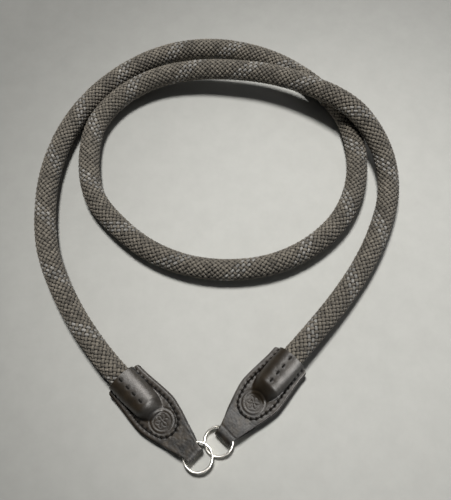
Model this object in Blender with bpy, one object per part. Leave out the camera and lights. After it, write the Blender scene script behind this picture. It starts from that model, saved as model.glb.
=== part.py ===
"""Camera strap lying loosely coiled on a table.

One braided rope makes about two turns.  Each end is sewn into a folded leather tab, and each
tab's fold holds a split ring.  Sizes are in millimetres until MM turns them into metres.  The
origin lies on the table, under the middle of the tabs and rings.
"""

import math
from collections import namedtuple

import bpy
from mathutils import Vector

MM = 0.001

# Rope
ROPE_DIAMETER = 11.0
ROPE_SAMPLES = 78
ROPE_BEVEL_RESOLUTION = 4
ROUTE_STEPS = 8

# Leather tabs: one strip each, folded round a ring and sewn over the rope's end
LEATHER = 1.3
TAB_LENGTH = 46.0
TAB_WIDTH = 20.6
BACK_OVERHANG = 0.5
MOUTH_CORNER = 1.4
SEAM_SLIT = 0.3
ROPE_CLEARANCE = 0.4
ROPE_RISE = 3.0
ROPE_IN_TAB = 18.5
BULGE_OVERRUN = 0.6
BULGE_SLOPE = 6.5
FRONT_FILLET = 1.0
BACK_FILLET = 3.0
NECK_START = 34.0
NECK_END = 41.0
NECK_DROOP = 0.75

# Split rings: two turns of wire with a step between them
RING_DIAMETER = 14.0
RING_WIRE = 1.0
RING_PITCH = 1.1
RING_STEP = 35.0
RING_START = 197.0
RING_SEGMENTS = 38
RING_BEVEL_RESOLUTION = 2
RING_CLEARANCE = 0.6

# Steps in a leaf's section, from crest to edge, and round the fold
ARC_STEPS = 5
FILLET_STEPS = 3
SEAM_STEPS = 2
FOLD_STEPS = 6

# Sizes that follow from the ones above
ROPE_RADIUS = ROPE_DIAMETER / 2
BULGE_RADIUS = ROPE_RADIUS + ROPE_CLEARANCE + LEATHER / 2
ROPE_HEIGHT_IN_TAB = BULGE_RADIUS + LEATHER / 2
BULGE_FALL = ROPE_IN_TAB + BULGE_OVERRUN
BULGE_END = BULGE_FALL + BULGE_SLOPE
RING_HEIGHT = RING_PITCH + RING_WIRE
FOLD_GAP = RING_HEIGHT + 2 * RING_CLEARANCE
FOLD_DROP = ROPE_RISE + NECK_DROOP
FOLD_HEIGHT = ROPE_HEIGHT_IN_TAB - FOLD_DROP

# Rows along a leaf: where each stretch from the mouth ends, and its steps
Stretch = namedtuple("Stretch", "end steps")
LEAF_STRETCHES = (
    Stretch(MOUTH_CORNER, 3),
    Stretch(BULGE_FALL, 3),
    Stretch(BULGE_END, 4),
    Stretch(NECK_START, 2),
    Stretch(NECK_END, 4),
    Stretch(TAB_LENGTH, 1),
)

# The tab's outline: place along its length and half width, as shares of the tab's sizes
Outline = namedtuple("Outline", "along width")
TAB_OUTLINE = (
    Outline(0.00, 0.88),
    Outline(0.12, 0.89),
    Outline(0.25, 0.94),
    Outline(0.38, 0.99),
    Outline(0.50, 1.00),
    Outline(0.64, 0.87),
    Outline(0.78, 0.69),
    Outline(0.90, 0.54),
    Outline(1.00, 0.42),
)

# The rope's route from the left tab to the right one: place on the table in millimetres, and
# how far the rope's underside is off the table, as a share of its diameter
Route = namedtuple("Route", "x y lift")
ROPE_ROUTE = (
    Route(-49.0, 22.7, 0.08),
    Route(-62.1, 39.5, 0.00),
    Route(-73.0, 57.9, 0.00),
    Route(-81.2, 77.6, 0.00),
    Route(-84.4, 98.7, 0.00),
    Route(-83.8, 120.0, 0.00),
    Route(-78.6, 140.9, 0.00),
    Route(-68.9, 160.2, 0.00),
    Route(-55.5, 175.9, 0.00),
    Route(-38.3, 188.8, 0.00),
    Route(-18.6, 196.8, 0.00),
    Route(2.3, 198.8, 0.00),
    Route(23.2, 195.0, 0.00),
    Route(42.2, 186.2, 0.00),
    Route(58.8, 172.7, 0.00),
    Route(72.0, 155.8, 0.00),
    Route(77.5, 135.2, 0.00),
    Route(76.0, 113.6, 0.00),
    Route(67.4, 94.1, 0.00),
    Route(52.3, 79.2, 0.00),
    Route(33.5, 69.6, 0.00),
    Route(12.5, 66.1, 0.00),
    Route(-8.9, 68.0, 0.00),
    Route(-29.0, 75.8, 0.00),
    Route(-46.2, 89.1, 0.00),
    Route(-59.6, 105.8, 0.00),
    Route(-64.3, 127.0, 0.00),
    Route(-61.9, 148.0, 0.02),
    Route(-50.0, 165.1, 0.09),
    Route(-31.9, 176.0, 0.25),
    Route(-11.0, 180.1, 0.45),
    Route(10.3, 179.4, 0.61),
    Route(31.3, 175.8, 0.72),
    Route(51.0, 168.2, 0.86),
    Route(68.9, 157.2, 1.03),
    Route(80.9, 145.4, 0.93),
    Route(90.5, 128.6, 0.42),
    Route(92.5, 108.8, 0.10),
    Route(86.8, 89.0, 0.00),
    Route(77.3, 70.0, 0.00),
    Route(65.1, 52.3, 0.00),
    Route(51.6, 36.2, 0.06),
)

# Each tab: where its fold's centre lies, as shares of a ring's diameter because the rings part
# the two folds, its heading from mouth to fold and its roll about that
Tab = namedtuple("Tab", "name fold_x fold_y heading roll")
LEFT_TAB = Tab("left_tab", -0.510, -1.364, -44.6, 4.5)
RIGHT_TAB = Tab("right_tab", 0.579, -0.834, -132.2, 2.5)

# Each ring's centre, as shares of its diameter past, beside and above the fold's centre, and
# how the ring leans
Ring = namedtuple("Ring", "name tab past side above pitch roll")
LEFT_RING = Ring("left_ring", LEFT_TAB, 0.243, 0.036, 0.005, 1.2, 4.8)
RIGHT_RING = Ring("right_ring", RIGHT_TAB, 0.300, -0.036, -0.068, 10.6, 2.5)


def remove_objects():
    for piece in list(bpy.data.objects):
        bpy.data.objects.remove(piece, do_unlink=True)


def make_material(name, colour, roughness, metallic=0.0):
    finish = bpy.data.materials.new(name)
    finish.use_nodes = True
    shader = finish.node_tree.nodes["Principled BSDF"]
    shader.inputs["Base Color"].default_value = (*colour, 1.0)
    shader.inputs["Roughness"].default_value = roughness
    shader.inputs["Metallic"].default_value = metallic
    finish.diffuse_color = (*colour, 1.0)
    return finish


def add_object(name, data, finish):
    piece = bpy.data.objects.new(name, data)
    bpy.context.collection.objects.link(piece)
    data.materials.append(finish)
    return piece


def smoothstep(start, end, value):
    share = min(max((value - start) / (end - start), 0.0), 1.0)
    return share * share * (3 - 2 * share)


def smooth_between(before, first, last, after, share):
    """A Catmull-Rom value between first and last, for numbers or vectors."""
    slope = (last - before) / 2
    next_slope = (after - first) / 2
    rise = last - first
    bend = 3 * rise - 2 * slope - next_slope
    twist = slope + next_slope - 2 * rise
    return first + slope * share + bend * share ** 2 + twist * share ** 3


def smooth_curve(points, steps):
    """Points of a smooth curve through the given ones, with steps in each stretch."""
    rows = [points[0] * 2 - points[1], *points, points[-1] * 2 - points[-2]]
    curve = []
    for index in range(len(points) - 1):
        stretch = rows[index:index + 4]
        curve += [smooth_between(*stretch, step / steps) for step in range(steps)]
    return curve + [points[-1]]


def even_points(curve, count):
    """The same curve with points at even distances."""
    lengths = [0.0]
    for first, last in zip(curve, curve[1:]):
        lengths.append(lengths[-1] + (last - first).length)
    result = []
    index = 0
    for number in range(count):
        wanted = lengths[-1] * number / (count - 1)
        while index < len(curve) - 2 and lengths[index + 1] < wanted:
            index += 1
        share = (wanted - lengths[index]) / (lengths[index + 1] - lengths[index])
        result.append(curve[index].lerp(curve[index + 1], share))
    return result


def tube(name, points, radius, resolution, finish):
    """A round tube with flat ends along the points."""
    curve = bpy.data.curves.new(name, "CURVE")
    curve.dimensions = "3D"
    curve.bevel_depth = radius * MM
    curve.bevel_resolution = resolution
    curve.use_fill_caps = True
    curve.render_resolution_u = 0
    spline = curve.splines.new("POLY")
    spline.points.add(len(points) - 1)
    for target, point in zip(spline.points, points):
        target.co = (*(point * MM), 1.0)
    return add_object(name, curve, finish)


def heading_vector(tab):
    angle = math.radians(tab.heading)
    return Vector((math.cos(angle), math.sin(angle), 0.0))


def fold_centre(tab):
    return Vector((tab.fold_x * RING_DIAMETER, tab.fold_y * RING_DIAMETER, FOLD_HEIGHT))


def rope_at_mouth(tab):
    """The rope's centre where it enters a tab."""
    return fold_centre(tab) - heading_vector(tab) * TAB_LENGTH + Vector((0, 0, FOLD_DROP))


def rope_in_tab(tab):
    """Centres of the straight stretch of rope in a tab, from its inner end to the mouth."""
    inwards = heading_vector(tab) * ROPE_IN_TAB
    return [rope_at_mouth(tab) + inwards * share for share in (1.0, 0.5, 0.0)]


def rope_route():
    points = rope_in_tab(LEFT_TAB)
    for row in ROPE_ROUTE:
        points.append(Vector((row.x, row.y, ROPE_RADIUS + row.lift * ROPE_DIAMETER)))
    points += reversed(rope_in_tab(RIGHT_TAB))
    route = even_points(smooth_curve(points, ROUTE_STEPS), ROPE_SAMPLES)
    for point in route:
        point.z = max(point.z, ROPE_RADIUS)
    return route


def make_rope(finish):
    return tube("rope", rope_route(), ROPE_RADIUS, ROPE_BEVEL_RESOLUTION, finish)


def outline_half_width(along):
    """Half width of the front leaf at this distance from the tab's mouth."""
    share = along / TAB_LENGTH
    index = 0
    while index < len(TAB_OUTLINE) - 2 and TAB_OUTLINE[index + 1].along < share:
        index += 1
    widths = [row.width for row in TAB_OUTLINE]
    before = widths[max(index - 1, 0)]
    after = widths[min(index + 2, len(widths) - 1)]
    start, end = TAB_OUTLINE[index], TAB_OUTLINE[index + 1]
    place = (share - start.along) / (end.along - start.along)
    half_width = smooth_between(before, start.width, end.width, after, place) * TAB_WIDTH / 2
    to_corner = max(MOUTH_CORNER - along, 0.0)
    return half_width - MOUTH_CORNER + math.sqrt(MOUTH_CORNER ** 2 - to_corner ** 2)


def bulge_half_section(centre, fillet, edge):
    """Half of a leaf's section over the rope: an arc, a fillet and the flat seam.

    It runs from the crest to the edge, as pairs of side and height above the seam, and centre
    is the height of the arc's own centre.
    """
    foot = math.sqrt((BULGE_RADIUS + fillet) ** 2 - (fillet - centre) ** 2)
    contact = math.atan2(foot, fillet - centre)
    section = []
    for step in range(ARC_STEPS):
        angle = contact * step / ARC_STEPS
        section.append((BULGE_RADIUS * math.sin(angle), centre + BULGE_RADIUS * math.cos(angle)))
    for step in range(FILLET_STEPS + 1):
        angle = contact * (1 - step / FILLET_STEPS)
        section.append((foot - fillet * math.sin(angle), fillet * (1 - math.cos(angle))))
    for step in range(1, SEAM_STEPS + 1):
        section.append((foot + (edge - foot) * step / SEAM_STEPS, 0.0))
    return section


def leaf_row(along, side):
    """Points across one leaf, side 1 for the front and -1 for the back."""
    opening = smoothstep(NECK_START, NECK_END, along)
    droop = NECK_DROOP * opening
    gap = SEAM_SLIT + (FOLD_GAP - SEAM_SLIT) * opening
    seam = side * (gap + LEATHER) / 2 - ROPE_RISE - droop
    edge = outline_half_width(along)
    if side < 0:
        edge += BACK_OVERHANG * (1 - smoothstep(NECK_START, TAB_LENGTH, along))
    fillet = FRONT_FILLET if side > 0 else BACK_FILLET
    centre = side * ROPE_RISE - (SEAM_SLIT + LEATHER) / 2
    bulged = bulge_half_section(centre, fillet, edge)
    flatness = smoothstep(BULGE_FALL, BULGE_END, along)
    last = len(bulged) - 1
    half = []
    for index, (across, height) in enumerate(bulged):
        even = edge * index / last
        half.append((
            across + (even - across) * flatness,
            seam + side * height * (1 - flatness),
        ))
    right = [(along, -across, height) for across, height in reversed(half[1:])]
    left = [(along, across, height) for across, height in half]
    return right + left


def fold_rows():
    """Rows round the fold, between the last rows of the two leaves."""
    count = len(leaf_row(TAB_LENGTH, 1))
    edge = outline_half_width(TAB_LENGTH)
    radius = (FOLD_GAP + LEATHER) / 2
    rows = []
    for step in range(1, FOLD_STEPS):
        angle = math.pi * step / FOLD_STEPS
        along = TAB_LENGTH + radius * math.sin(angle)
        height = radius * math.cos(angle) - FOLD_DROP
        rows.append([
            (along, edge * (2 * index / (count - 1) - 1), height) for index in range(count)
        ])
    return rows


def leaf_stations():
    """Distances from the mouth at which a leaf has a row of points."""
    places = [0.0]
    for stretch in LEAF_STRETCHES:
        start = places[-1]
        size = (stretch.end - start) / stretch.steps
        places += [start + size * step for step in range(1, stretch.steps + 1)]
    return places


def make_tab(tab, finish):
    """One leather strip: front leaf, fold and back leaf, thickened from its middle surface."""
    places = leaf_stations()
    rows = [leaf_row(along, 1) for along in places]
    rows += fold_rows()
    rows += [leaf_row(along, -1) for along in reversed(places)]
    count = len(rows[0])
    points = [Vector(point) * MM for row in rows for point in row]
    faces = []
    for row in range(len(rows) - 1):
        for column in range(count - 1):
            corner = row * count + column
            faces.append((corner, corner + count, corner + count + 1, corner + 1))
    mesh = bpy.data.meshes.new(tab.name)
    mesh.from_pydata(points, [], faces)
    piece = add_object(tab.name, mesh, finish)
    piece.location = rope_at_mouth(tab) * MM
    piece.rotation_euler = (math.radians(tab.roll), 0.0, math.radians(tab.heading))
    wall = piece.modifiers.new("wall", "SOLIDIFY")
    wall.thickness = LEATHER * MM
    wall.offset = 0.0
    wall.use_even_offset = True
    mesh.shade_smooth()
    return piece


def ring_centreline():
    """Two turns of wire side by side, with a step from the first to the second."""
    radius = (RING_DIAMETER - RING_WIRE) / 2
    total = 720 - RING_STEP
    count = round(RING_SEGMENTS * total / 360)
    points = []
    for number in range(count + 1):
        angle = total * number / count
        level = smoothstep(360 - RING_STEP, 360, angle) - 0.5
        turn = math.radians(RING_START + angle)
        points.append(Vector((
            radius * math.cos(turn),
            radius * math.sin(turn),
            level * RING_PITCH,
        )))
    return points


def make_ring(ring, finish):
    piece = tube(ring.name, ring_centreline(), RING_WIRE / 2, RING_BEVEL_RESOLUTION, finish)
    ahead = heading_vector(ring.tab)
    aside = Vector((-ahead.y, ahead.x, 0.0))
    shift = ahead * ring.past + aside * ring.side + Vector((0, 0, ring.above))
    piece.location = (fold_centre(ring.tab) + shift * RING_DIAMETER) * MM
    piece.rotation_euler = (
        math.radians(ring.roll),
        math.radians(ring.pitch),
        math.radians(ring.tab.heading),
    )
    return piece


def main():
    remove_objects()
    braid = make_material("braid", (0.20, 0.18, 0.15), 0.85)
    leather = make_material("leather", (0.10, 0.085, 0.07), 0.45)
    steel = make_material("steel", (0.80, 0.79, 0.76), 0.15, 1.0)
    make_rope(braid)
    for tab in (LEFT_TAB, RIGHT_TAB):
        make_tab(tab, leather)
    for ring in (LEFT_RING, RIGHT_RING):
        make_ring(ring, steel)


main()
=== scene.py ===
import math

import bmesh
import bpy
import numpy as np
from bpy.props import FloatProperty, FloatVectorProperty, IntProperty, PointerProperty
from bpy.types import Operator, Panel, PropertyGroup
from mathutils import Euler, Matrix, Vector, noise


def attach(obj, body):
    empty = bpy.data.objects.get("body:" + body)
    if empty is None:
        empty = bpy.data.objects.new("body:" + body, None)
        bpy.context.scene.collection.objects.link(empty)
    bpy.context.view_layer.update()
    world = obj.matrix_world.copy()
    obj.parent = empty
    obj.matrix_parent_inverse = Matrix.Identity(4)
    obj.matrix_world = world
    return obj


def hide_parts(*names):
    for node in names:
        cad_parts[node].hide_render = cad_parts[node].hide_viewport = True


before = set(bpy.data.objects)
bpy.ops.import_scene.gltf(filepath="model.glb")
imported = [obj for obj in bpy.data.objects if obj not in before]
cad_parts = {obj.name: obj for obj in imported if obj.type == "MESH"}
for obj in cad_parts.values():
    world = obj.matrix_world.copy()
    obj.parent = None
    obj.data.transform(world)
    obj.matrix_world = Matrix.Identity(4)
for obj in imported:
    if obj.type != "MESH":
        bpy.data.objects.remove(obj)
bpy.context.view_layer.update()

bl_info = {
    "name": "Coiled camera strap",
    "version": (1, 0, 0),
    "blender": (4, 5, 0),
    "location": "View3D > Sidebar > Strap",
    "description": "Builds a braided rope strap with sewn leather tabs and split rings",
    "category": "Add Mesh",
}

MM = 0.001

# The rope's route from the left tab to the right one: place on the table in metres, and how
# far the rope's underside is off the table, as a share of its diameter. These rows weren't
# chosen by hand: they follow the output of a least-squares fit to the rope's edges in the
# photograph, and they repeat the rows that the solids use.
ROPE_ROUTE = (
    (-0.0490, 0.0227, 0.08),
    (-0.0621, 0.0395, 0.00),
    (-0.0730, 0.0579, 0.00),
    (-0.0812, 0.0776, 0.00),
    (-0.0844, 0.0987, 0.00),
    (-0.0838, 0.1200, 0.00),
    (-0.0786, 0.1409, 0.00),
    (-0.0689, 0.1602, 0.00),
    (-0.0555, 0.1759, 0.00),
    (-0.0383, 0.1888, 0.00),
    (-0.0186, 0.1968, 0.00),
    (0.0023, 0.1988, 0.00),
    (0.0232, 0.1950, 0.00),
    (0.0422, 0.1862, 0.00),
    (0.0588, 0.1727, 0.00),
    (0.0720, 0.1558, 0.00),
    (0.0775, 0.1352, 0.00),
    (0.0760, 0.1136, 0.00),
    (0.0674, 0.0941, 0.00),
    (0.0523, 0.0792, 0.00),
    (0.0335, 0.0696, 0.00),
    (0.0125, 0.0661, 0.00),
    (-0.0089, 0.0680, 0.00),
    (-0.0290, 0.0758, 0.00),
    (-0.0462, 0.0891, 0.00),
    (-0.0596, 0.1058, 0.00),
    (-0.0643, 0.1270, 0.00),
    (-0.0619, 0.1480, 0.02),
    (-0.0500, 0.1651, 0.09),
    (-0.0319, 0.1760, 0.25),
    (-0.0110, 0.1801, 0.45),
    (0.0103, 0.1794, 0.61),
    (0.0313, 0.1758, 0.72),
    (0.0510, 0.1682, 0.86),
    (0.0689, 0.1572, 1.03),
    (0.0809, 0.1454, 0.93),
    (0.0905, 0.1286, 0.42),
    (0.0925, 0.1088, 0.10),
    (0.0868, 0.0890, 0.00),
    (0.0773, 0.0700, 0.00),
    (0.0651, 0.0523, 0.00),
    (0.0516, 0.0362, 0.06),
)
ROUTE_STEPS = 8
ROUTE_SPACING = 0.0005
SMOOTHED_ROWS = 9
ROPE_IN_TAB = 18.5
ROPE_RADIUS = 5.5

# The braid: rows and sides of each yarn's mesh, how flat and how high its wave is, how much
# narrower it gets on the way down, how unevenly it lies in metres, radians and shares, and how
# far its fibres are shifted from the next yarn's in millimetres
ROWS_PER_CROSSING = 3
YARN_SIDES = 6
WAVE_GAIN = 1.5
WAVE_SWING = 0.42
DEEP_NARROWING = 0.05
RADIUS_SCATTER = 0.00003
TURN_SCATTER = 0.008
WIDTH_SCATTER = 0.04
YARN_SHIFT = 37.0

# The rope's ends are drawn in under the leather, over this length and to this share
ROPE_TAPER = 0.014
ROPE_END_SHARE = 0.62

# The core under the yarns, in metres
CORE_ROWS = 320
CORE_SIDES = 16
CORE_RADIUS = 0.0039
CORE_END_RADIUS = 0.0024
CORE_END_ROWS = 4

# How far along the rope the middle one of the pale yarns lies on top, and that yarn's number
FLECK_PLACE = 0.1132
MIDDLE_PALE_YARN = 1

# Leather tab sizes in millimetres, as in the solids but for the front fillet and the bulge's
# fall and end. Its narrowing, in shares of its width and height, is only here
LEATHER = 1.3
TAB_LENGTH = 46.0
TAB_WIDTH = 20.6
BACK_OVERHANG = 0.5
MOUTH_CORNER = 1.4
SEAM_SLIT = 0.3
ROPE_RISE = 3.0
BULGE_RADIUS = 6.55
BULGE_FALL = 16.8
BULGE_END = 24.8
FRONT_FILLET = 1.15
BACK_FILLET = 3.0
NECK_START = 34.0
NECK_END = 41.0
NECK_DROOP = 0.75
NARROW_START = 5.0
NARROW_END = 21.0
NARROW_WIDTH = 0.12
NARROW_HEIGHT = 0.08
FOLD_GAP = 3.3
FOLD_DROP = 3.75
FOLD_HEIGHT = 3.45
RING_DIAMETER = 14.0
TAB_OUTLINE = (
    (0.00, 0.88), (0.12, 0.89), (0.25, 0.94), (0.38, 0.99), (0.50, 1.00),
    (0.64, 0.87), (0.78, 0.69), (0.90, 0.54), (1.00, 0.42),
)

# Each tab: its name, where its fold's centre lies as shares of a ring's diameter, its heading
# from mouth to fold and its roll about that, in degrees
LEFT_TAB = ("left", -0.510, -1.364, -44.6, 4.5)
RIGHT_TAB = ("right", 0.579, -0.834, -132.2, 2.5)

# Each ring: its tab, its centre past, beside and above the fold's centre as shares of its
# diameter, its pitch and its roll in degrees
LEFT_RING = (LEFT_TAB, 0.243, 0.036, 0.005, 1.2, 4.8)
RIGHT_RING = (RIGHT_TAB, 0.300, -0.036, -0.068, 10.6, 2.5)

# Rows along a leaf: where each stretch ends in millimetres, and its steps on each leaf
LEAF_STRETCHES = ((1.4, 5, 4), (36.0, 130, 34), (46.0, 24, 14))
ARC_STEPS = 13
FILLET_STEPS = 6
SEAM_STEPS = 15
FOLD_STEPS = 14
RIM_ROUNDING = 0.32
RIM_STEPS = 3
SMOOTH_ANGLE = 50.0

# Sewing, in millimetres. SEAM_EASE is the share of half the turn round the stamp in which the
# seam draws in to its radius, and SEAM_ARC_STEPS counts that half turn's steps
STITCH_PITCH = 2.55
STITCH_INSET = 2.35
SEAM_START = 1.6
SEAM_SPACING = 0.2
SEAM_TURN = 2.0
SEAM_EASE = 0.45
SEAM_ARC_STEPS = 40
SEWN_RADIUS = 7.4
CREST_HOLES = (1.9, 6.6, 10.5, 14.8)
CREST_STITCH = 1.05

# A stitch's lift and radius, then its places as shares of its length and of its lift
SEAM_THREAD = (0.22, 0.27)
# The crest stitches lie almost flat across their holes: dark marks that stand in as painted shade
# of the holes
CREST_THREAD = (0.10, 0.34)
STITCH_PROFILE = (
    (0.10, -1.6), (0.17, -0.6), (0.32, 0.5), (0.5, 0.8), (0.68, 0.5), (0.83, -0.6), (0.90, -1.6),
)
THREAD_FLATNESS = 1.25
THREAD_SIDES = 8

# Holes in the leather: depth, radius, how far a hole reaches, how wide the painted shade in it is,
# and the dip that the seam pulls
HOLE_DEPTH = 0.75
CREST_HOLE_DEPTH = 0.38
CREST_STRETCH = 0.62
HOLE_RADIUS = 0.52
HOLE_REACH = 2.0
HOLE_SHADE_RADIUS = 0.72
PULL_DEPTH = 0.10
PULL_RADIUS = 1.1

# The stamp's round lines as distance inside its edge, depth and half width, and its petals
STAMP_PLACE = 27.0
STAMP_RADIUS = 5.7
STAMP_REACH = 6.6
STAMP_LINES = ((0.0, 0.26, 0.38), (0.95, -0.10, 0.35), (1.75, 0.12, 0.28))
# How strongly the stamp's sunk lines are painted dark, and the darkest they get: painted shade in
# the recesses
STAMP_SHADE_GAIN = 1.1
STAMP_DARKEST = 0.4
PETALS = 6
PETAL_START = 0.4
PETAL_END = 3.3
PETAL_WIDTH = 0.80
PETAL_DEPTH = 0.17
PETAL_LINE = 0.22

# The front face's unevenness, its wrinkles and crease over the fold, its edge and its rubbing
UNEVEN_SCALE = 0.33
UNEVEN_DEPTH = 0.10
RIPPLE_SCALE = 3.1
RIPPLE_DEPTH = 0.03
WRINKLE_START = 30.0
WRINKLE_END = 36.0
WRINKLE_DEPTH = 0.10
CREASE_PLACE = 44.2
CREASE_SLANT = 0.05
CREASE_WIDTH = 0.35
CREASE_DEPTH = 0.22
EDGE_DEPTH = 0.20
EDGE_WIDTH = 0.30
RUBBED_START = 27.0
RUBBED_END = 36.0

# A ring: where its wire starts and steps aside in degrees, how far it steps in millimetres
RING_START = 197.0
RING_STEP = 35.0
RING_PITCH = 1.1
RING_STEPS = 150
WIRE_SIDES = 16

# The camera in metres, degrees and millimetres: its height, tilt and lens are the same fit's
CAMERA_PLACE = (0.0081, -0.0202, 0.275875)
CAMERA_TILT = 19.67
CAMERA_LENS = 41.289
CAMERA_NEAR = 0.005
SENSOR_WIDTH = 36.0

# The table and the lights, in metres and watts; the windows show in reflections only
TABLE_SIZE = 3.0
TABLE_PLACE = (0.0, 0.0, -0.00002)
LIT_PLACE = (0.0, 0.09, 0.0)
KEY_SIZE = 0.34
KEY_DISTANCE = 1.5
KEY_DIRECTION = (-0.11, 0.40, 1.0)
PANEL_SIZE = 0.55
PANEL_POWER = 0.08
PANEL_PLACE = (-0.10, 0.20, 0.85)
WINDOW_SIZE = 0.60
WINDOW_POWER = 23.0
WINDOWS = (("far window", (0.48, 0.56, 0.50)), ("near window", (0.68, -0.32, 0.50)))
WARM_WHITE = (1.0, 0.99, 0.97)
COOL_WHITE = (0.96, 0.98, 1.0)
SKY_COLOUR = (0.90, 0.95, 1.0, 1)


class StrapRope(PropertyGroup):
    diameter: FloatProperty(
        name="Diameter", description="Outside diameter of the rope", default=0.011,
        unit="LENGTH")
    pitch: FloatProperty(
        name="Pitch", description="Length in which a yarn goes once round", default=0.033,
        unit="LENGTH")
    yarns: IntProperty(
        name="Yarns each way", description="Yarns that run in each direction", default=12)
    yarn_width: FloatProperty(
        name="Yarn width", description="Width of one yarn", default=0.00161, unit="LENGTH")
    yarn_height: FloatProperty(
        name="Yarn height", description="Thickness of one yarn", default=0.00112,
        unit="LENGTH")
    grey: FloatVectorProperty(
        name="Grey yarn", description="Colour of most yarns", default=(0.184, 0.164, 0.134),
        subtype="COLOR")
    pale: FloatVectorProperty(
        name="Pale yarn", description="Colour of the three flecked yarns",
        default=(0.300, 0.288, 0.266), subtype="COLOR")
    # The core's near-black colour is partly its own and partly painted shade: it fills the gaps
    # between the yarns, and the yarns' painted shade darkens towards it
    core: FloatVectorProperty(
        name="Core", description="Colour of the core between the yarns",
        default=(0.012, 0.0078, 0.0045), subtype="COLOR")


class StrapLeather(PropertyGroup):
    colour: FloatVectorProperty(
        name="Leather", description="Colour of the leather's smooth parts",
        default=(0.023, 0.0160, 0.0088), subtype="COLOR")
    worn: FloatVectorProperty(
        name="Worn leather", description="Colour of the neck and of rubbed edges",
        default=(0.020, 0.0148, 0.0090), subtype="COLOR")
    # Near black and nearly glossless: partly the thread's own colour, partly painted shade of the
    # stitch holes
    thread: FloatVectorProperty(
        name="Thread", description="Colour of the sewing thread",
        default=(0.012, 0.0100, 0.0080), subtype="COLOR")
    roughness: FloatProperty(
        name="Roughness", description="Roughness of the leather's satin face", default=0.42,
        subtype="FACTOR")


class StrapRing(PropertyGroup):
    colour: FloatVectorProperty(
        name="Steel", description="Colour of the polished wire", default=(0.62, 0.60, 0.55),
        subtype="COLOR")
    wire: FloatProperty(
        name="Wire", description="Diameter of the ring's wire", default=0.001, unit="LENGTH")


class StrapStage(PropertyGroup):
    floor: FloatVectorProperty(
        name="Floor", description="Colour of the table", default=(0.56, 0.56, 0.53),
        subtype="COLOR")
    key_power: FloatProperty(
        name="Key light", description="Power of the main light", default=24.6, unit="POWER")
    fill: FloatProperty(
        name="Fill", description="Strength of the light from all round", default=0.027)


def smoothstep(start, end, value):
    share = min(max((value - start) / (end - start), 0.0), 1.0)
    return share * share * (3 - 2 * share)


def smooth_between(before, first, last, after, share):
    """A Catmull-Rom value between first and last, for numbers or vectors."""
    slope = (last - before) / 2
    next_slope = (after - first) / 2
    rise = last - first
    bend = 3 * rise - 2 * slope - next_slope
    twist = slope + next_slope - 2 * rise
    return first + slope * share + bend * share ** 2 + twist * share ** 3


def smooth_curve(points, steps):
    """Points of a smooth curve through the given ones, with steps in each stretch."""
    rows = [points[0] * 2 - points[1], *points, points[-1] * 2 - points[-2]]
    curve = []
    for index in range(len(points) - 1):
        stretch = rows[index:index + 4]
        curve += [smooth_between(*stretch, step / steps) for step in range(steps)]
    return curve + [points[-1]]


def heading_vector(tab):
    angle = math.radians(tab[3])
    return Vector((math.cos(angle), math.sin(angle), 0.0))


def fold_centre(tab):
    return Vector((tab[1] * RING_DIAMETER, tab[2] * RING_DIAMETER, FOLD_HEIGHT)) * MM


def rope_at_mouth(tab):
    """The rope's centre where it enters a tab."""
    drop = Vector((0, 0, FOLD_DROP * MM))
    return fold_centre(tab) - heading_vector(tab) * TAB_LENGTH * MM + drop


def rope_centreline():
    """Points of the rope's route in metres, from its inner end in the left tab."""
    start, end = [
        [rope_at_mouth(tab) + heading_vector(tab) * ROPE_IN_TAB * MM * share
         for share in (1.0, 0.5, 0.0)]
        for tab in (LEFT_TAB, RIGHT_TAB)
    ]
    radius = ROPE_RADIUS * MM
    middle = [Vector((x, y, radius * (1 + 2 * lift))) for x, y, lift in ROPE_ROUTE]
    curve = smooth_curve(start + middle + end[::-1], ROUTE_STEPS)
    return [Vector((point.x, point.y, max(point.z, radius))) for point in curve]


def dense_route(step):
    """The centreline at even steps, with its tangent, side and up vectors, as arrays."""
    line = np.array([tuple(point) for point in rope_centreline()])
    lengths = np.concatenate([[0], np.cumsum(np.linalg.norm(np.diff(line, axis=0), axis=1))])
    places = np.linspace(0, lengths[-1], round(lengths[-1] / step) + 1)
    centre = np.stack([np.interp(places, lengths, line[:, axis]) for axis in range(3)], 1)
    window = np.ones(SMOOTHED_ROWS) / SMOOTHED_ROWS
    margin = SMOOTHED_ROWS // 2
    padded = np.pad(centre, ((margin, margin), (0, 0)), mode="reflect", reflect_type="odd")
    centre = np.stack([np.convolve(padded[:, axis], window, "valid") for axis in range(3)], 1)
    tangent = np.gradient(centre, axis=0)
    tangent /= np.linalg.norm(tangent, axis=1)[:, None]
    side = np.cross((0.0, 0.0, 1.0), tangent)
    side /= np.linalg.norm(side, axis=1)[:, None]
    return places, centre, tangent, side, np.cross(tangent, side)


def link_mesh(name, points, faces):
    mesh = bpy.data.meshes.new(name)
    mesh.from_pydata(points, [], faces)
    mesh.validate()
    mesh.shade_smooth()
    piece = bpy.data.objects.new(name, mesh)
    bpy.context.collection.objects.link(piece)
    return piece


def loft(rings, first=0):
    """Side faces and end caps of a tube through rings of points, numbered from first."""
    count, sides = rings.shape[:2]
    row = first + np.arange(count - 1)[:, None] * sides
    column = np.arange(sides)[None, :]
    corner = row + column
    after = row + (column + 1) % sides
    walls = np.stack([corner, after, after + sides, corner + sides], -1).reshape(-1, 4)
    caps = [
        tuple(range(first + sides - 1, first - 1, -1)),
        tuple(range(first + (count - 1) * sides, first + count * sides)),
    ]
    return [tuple(face) for face in walls.tolist()] + caps


def tube_rings(line, across, above, half_width, half_height, sides):
    """Rings of an elliptical tube, with their points numbered from the underside."""
    turns = 2 * math.pi * np.arange(sides) / sides - math.pi / 2
    wide = np.cos(turns)[None, :, None] * across[:, None, :] * half_width[:, None, None]
    high = np.sin(turns)[None, :, None] * above[:, None, :] * half_height[:, None, None]
    return line[:, None, :] + wide + high


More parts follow.
